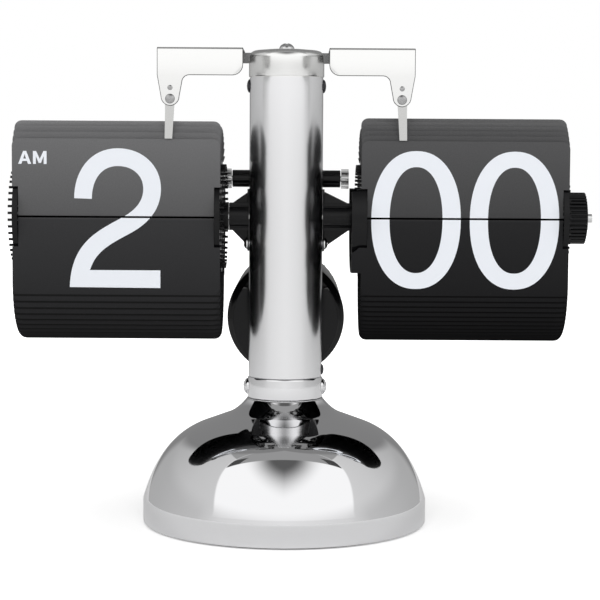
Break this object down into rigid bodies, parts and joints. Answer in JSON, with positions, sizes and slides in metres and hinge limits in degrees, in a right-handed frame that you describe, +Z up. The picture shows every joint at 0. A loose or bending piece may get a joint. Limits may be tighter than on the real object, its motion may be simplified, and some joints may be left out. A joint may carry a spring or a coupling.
{
  "type": "flip number clock",
  "caption": "Desk clock on a chrome post and domed base: a drum of hinged hour leaves on the left and one of minute leaves on the right flip down to show the time.",
  "frame": {"origin": "centre of the pad under the base, on the table", "axes": "+Z up along the post, +X to the right along the main axle, +Y to the back"},
  "size_m": [0.2045, 0.1375, 0.1706],
  "materials": {
    "chrome": "mirror polished",
    "satin_steel": "fine satin turned",
    "polished_sheet": "polished sheet",
    "spring_steel": "bright spring strip",
    "steel": "plain turned",
    "black_metal": "black oxide",
    "black_plastic": "moulded, slightly glossy",
    "leaf_black": "fine satin sheet with white numbers",
    "brass": "stamped",
    "pad_rubber": "soft foam"
  },
  "bodies": {
    "stand": {"base_shell": "chrome", "base_plate": "steel", "base_pad": "pad_rubber", "base_screws": "steel", "post_bolt": "steel", "post_nut": "steel", "lower_collar": "satin_steel", "collar_screws": "chrome", "collar_set_screw": "black_metal", "post_tube": "chrome", "post_cap": "satin_steel", "cap_screw": "steel", "cap_side_screws": "black_metal", "bridge_bar": "black_metal", "left_arm": "polished_sheet", "right_arm": "polished_sheet", "left_finger": "spring_steel", "right_finger": "spring_steel", "finger_screws": "steel", "finger_rivets": "steel", "arm_screws": "steel", "left_bracket": "black_plastic", "right_bracket": "black_plastic", "bracket_screws": "chrome", "hour_leaves": "leaf_black", "minute_leaves": "leaf_black", "transfer_sleeve": "black_plastic", "motor_can": "steel", "gear_case": "black_plastic", "gear_case_cover": "black_plastic", "cover_screws": "steel", "battery_barrel": "black_plastic", "battery_cell": "steel", "contact_plate": "brass"},
    "minute_drum": {"main_axle": "steel", "axle_clip": "spring_steel", "drive_gear": "brass", "minute_wheel_outer": "black_plastic", "minute_wheel_inner": "black_plastic", "minute_core": "black_plastic", "setting_knob": "black_plastic"},
    "hour_drum": {"hour_wheel_outer": "black_plastic", "hour_wheel_inner": "black_plastic", "hour_core": "black_plastic"},
    "transfer": {"transfer_shaft": "steel", "hour_pinion": "steel", "carry_pinion": "steel"},
    "middle_wheel": {"middle_arbor": "steel", "middle_pinion": "brass", "middle_gear": "brass"},
    "motor_rotor": {"motor_shaft": "steel", "motor_pinion": "brass"},
    "hour_leaf": {"hour_front_leaf": "leaf_black"},
    "minute_leaf": {"minute_front_leaf": "leaf_black"},
    "barrel_door": {"battery_door": "black_plastic", "contact_spring": "spring_steel"}
  },
  "joints": [
    {"name": "minute_spin", "type": "hinge", "parent": "stand", "child": "minute_drum", "pos_m": [0, 0, 0.1095], "axis": [1, 0, 0], "continuous": true},
    {"name": "hour_spin", "type": "hinge", "parent": "stand", "child": "hour_drum", "pos_m": [0, 0, 0.1095], "axis": [1, 0, 0], "continuous": true},
    {"name": "transfer_spin", "type": "hinge", "parent": "stand", "child": "transfer", "pos_m": [0, 0.01625, 0.1228], "axis": [1, 0, 0], "continuous": true},
    {"name": "middle_spin", "type": "hinge", "parent": "stand", "child": "middle_wheel", "pos_m": [0, 0.01304, 0.10601], "axis": [1, 0, 0], "continuous": true},
    {"name": "motor_spin", "type": "hinge", "parent": "stand", "child": "motor_rotor", "pos_m": [0, 0.02554, 0.10601], "axis": [1, 0, 0], "continuous": true},
    {"name": "hour_leaf_flip", "type": "hinge", "parent": "stand", "child": "hour_leaf", "pos_m": [-0.0585, -0.01796, 0.11068], "axis": [1, 0, 0], "range_deg": [0, 172]},
    {"name": "minute_leaf_flip", "type": "hinge", "parent": "stand", "child": "minute_leaf", "pos_m": [0.0621, -0.01798, 0.11044], "axis": [1, 0, 0], "range_deg": [0, 170]},
    {"name": "barrel_door_twist", "type": "hinge", "parent": "stand", "child": "barrel_door", "pos_m": [0, 0.085, 0.07221], "axis": [0, 1, 0], "range_deg": [0, 45]}
  ],
  "couplings": [
    {"joint": "hour_spin", "follows": "minute_spin", "ratio": 0.041667},
    {"joint": "transfer_spin", "follows": "minute_spin", "ratio": -0.25},
    {"joint": "middle_spin", "follows": "minute_spin", "ratio": -2.8571},
    {"joint": "motor_spin", "follows": "minute_spin", "ratio": 7.3469}
  ]
}
